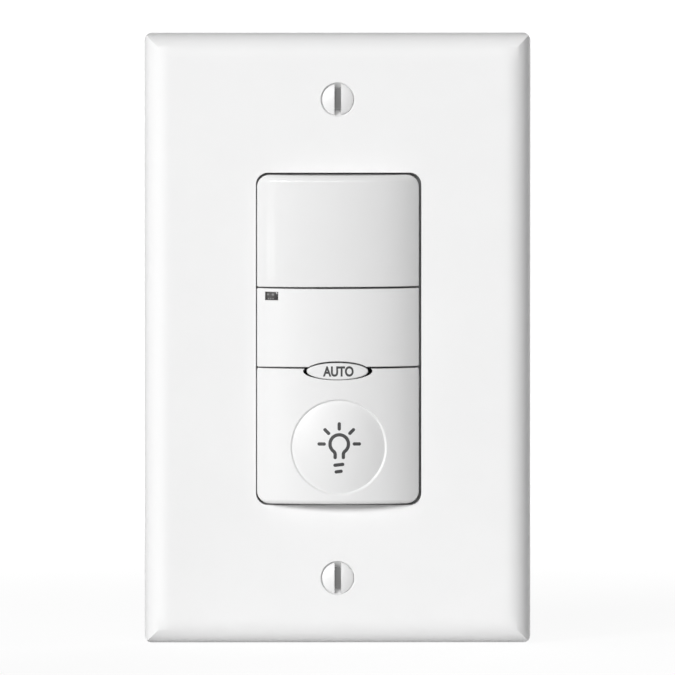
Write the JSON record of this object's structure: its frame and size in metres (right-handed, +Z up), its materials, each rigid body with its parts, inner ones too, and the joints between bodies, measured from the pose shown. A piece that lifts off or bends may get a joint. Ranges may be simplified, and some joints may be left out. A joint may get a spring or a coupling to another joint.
{
  "type": "motion sensor light switch",
  "caption": "Wall-box motion sensor light switch: crowned lens, oval mode button and hinged push plate in a rounded screw-on wall plate, with strap, boards and housing behind.",
  "frame": {"origin": "midway between the two box screws, in the wall plane behind the plate and strap", "axes": "+X to the right as seen from the room, +Y into the wall along the box screws, +Z up along the plate"},
  "size_m": [0.078, 0.0417, 0.1234],
  "materials": {
    "plate_white": "smooth satin white moulding",
    "screw_white": "white painted steel",
    "lens_pearl": "glossy, slightly translucent white",
    "face_white": "smooth satin white moulding",
    "window_smoke": "smoked clear plastic",
    "frame_grey": "plain moulding",
    "strap_steel": "zinc-plated sheet steel",
    "screw_zinc": "zinc-plated",
    "retainer_fibre": "pressed fibre",
    "ground_green": "green plated",
    "board_green": "solder mask",
    "sensor_can": "plated can",
    "sensor_filter": "dark infrared filter",
    "sensor_clear": "clear resin",
    "chip_black": "moulding compound",
    "chip_amber": "ceramic",
    "switch_black": "plain moulding",
    "dome_steel": "spring steel",
    "plunger_black": "plain moulding",
    "cover_steel": "tinned sheet",
    "relay_blue": "sealed case",
    "film_amber": "potted box",
    "sleeve_black": "sleeved can",
    "varistor_blue": "epoxy coat",
    "fuse_body": "ceramic tube",
    "winding_copper": "enamelled copper",
    "housing_grey": "plain moulding",
    "terminal_brass": "bright brass",
    "terminal_plated": "nickel-plated"
  },
  "bodies": {
    "switch_body": {"wall_plate": "plate_white", "plate_screws": "screw_white", "lens": "lens_pearl", "middle_panel": "face_white", "light_pipe": "window_smoke", "front_frame": "frame_grey", "mounting_strap": "strap_steel", "box_screws": "screw_zinc", "screw_retainers": "retainer_fibre", "ground_screw": "ground_green", "sensor_board": "board_green", "pir_can": "sensor_can", "pir_window": "sensor_filter", "light_sensor": "sensor_clear", "controller_chip": "chip_black", "chip_parts": "chip_amber", "main_switch_base": "switch_black", "main_switch_dome": "dome_steel", "main_switch_cover": "cover_steel", "mode_switch_base": "switch_black", "mode_switch_dome": "dome_steel", "mode_switch_cover": "cover_steel", "board_link": "switch_black", "power_board": "board_green", "relay": "relay_blue", "film_capacitor": "film_amber", "smoothing_capacitor": "sleeve_black", "varistor": "varistor_blue", "fuse": "fuse_body", "choke": "winding_copper", "rectifier": "chip_black", "rear_housing": "housing_grey", "housing_screws": "screw_zinc", "line_terminal": "terminal_brass", "load_terminal": "terminal_brass", "neutral_terminal": "terminal_plated", "clamp_plates": "terminal_plated", "terminal_screws": "terminal_brass"},
    "main_button": {"main_button": "face_white"},
    "mode_button": {"mode_button": "face_white"},
    "main_switch_plunger": {"main_switch_plunger": "plunger_black"},
    "mode_switch_plunger": {"mode_switch_plunger": "plunger_black"}
  },
  "joints": [
    {"name": "main_button_hinge", "type": "hinge", "parent": "switch_body", "child": "main_button", "pos_m": [0, -0.0034, -0.00841], "axis": [1, 0, 0], "range_deg": [0, 2.1], "stiffness_Nm_per_rad": 0.7, "springref_deg": -1.15},
    {"name": "mode_button_slide", "type": "slide", "parent": "switch_body", "child": "mode_button", "axis": [0, 1, 0], "range_m": [0, 0.0005], "stiffness_N_per_m": 4000, "springref_m": -0.0002},
    {"name": "main_switch_slide", "type": "slide", "parent": "switch_body", "child": "main_switch_plunger", "axis": [0, 1, 0], "range_m": [0, 0.0005], "deforming": ["main_switch_dome"]},
    {"name": "mode_switch_slide", "type": "slide", "parent": "switch_body", "child": "mode_switch_plunger", "axis": [0, 1, 0], "range_m": [0, 0.0005], "deforming": ["mode_switch_dome"]}
  ],
  "couplings": [
    {"joint": "main_switch_slide", "follows": "main_button_hinge", "m_per_rad": 0.01324},
    {"joint": "mode_switch_slide", "follows": "mode_button_slide", "ratio": 1}
  ]
}
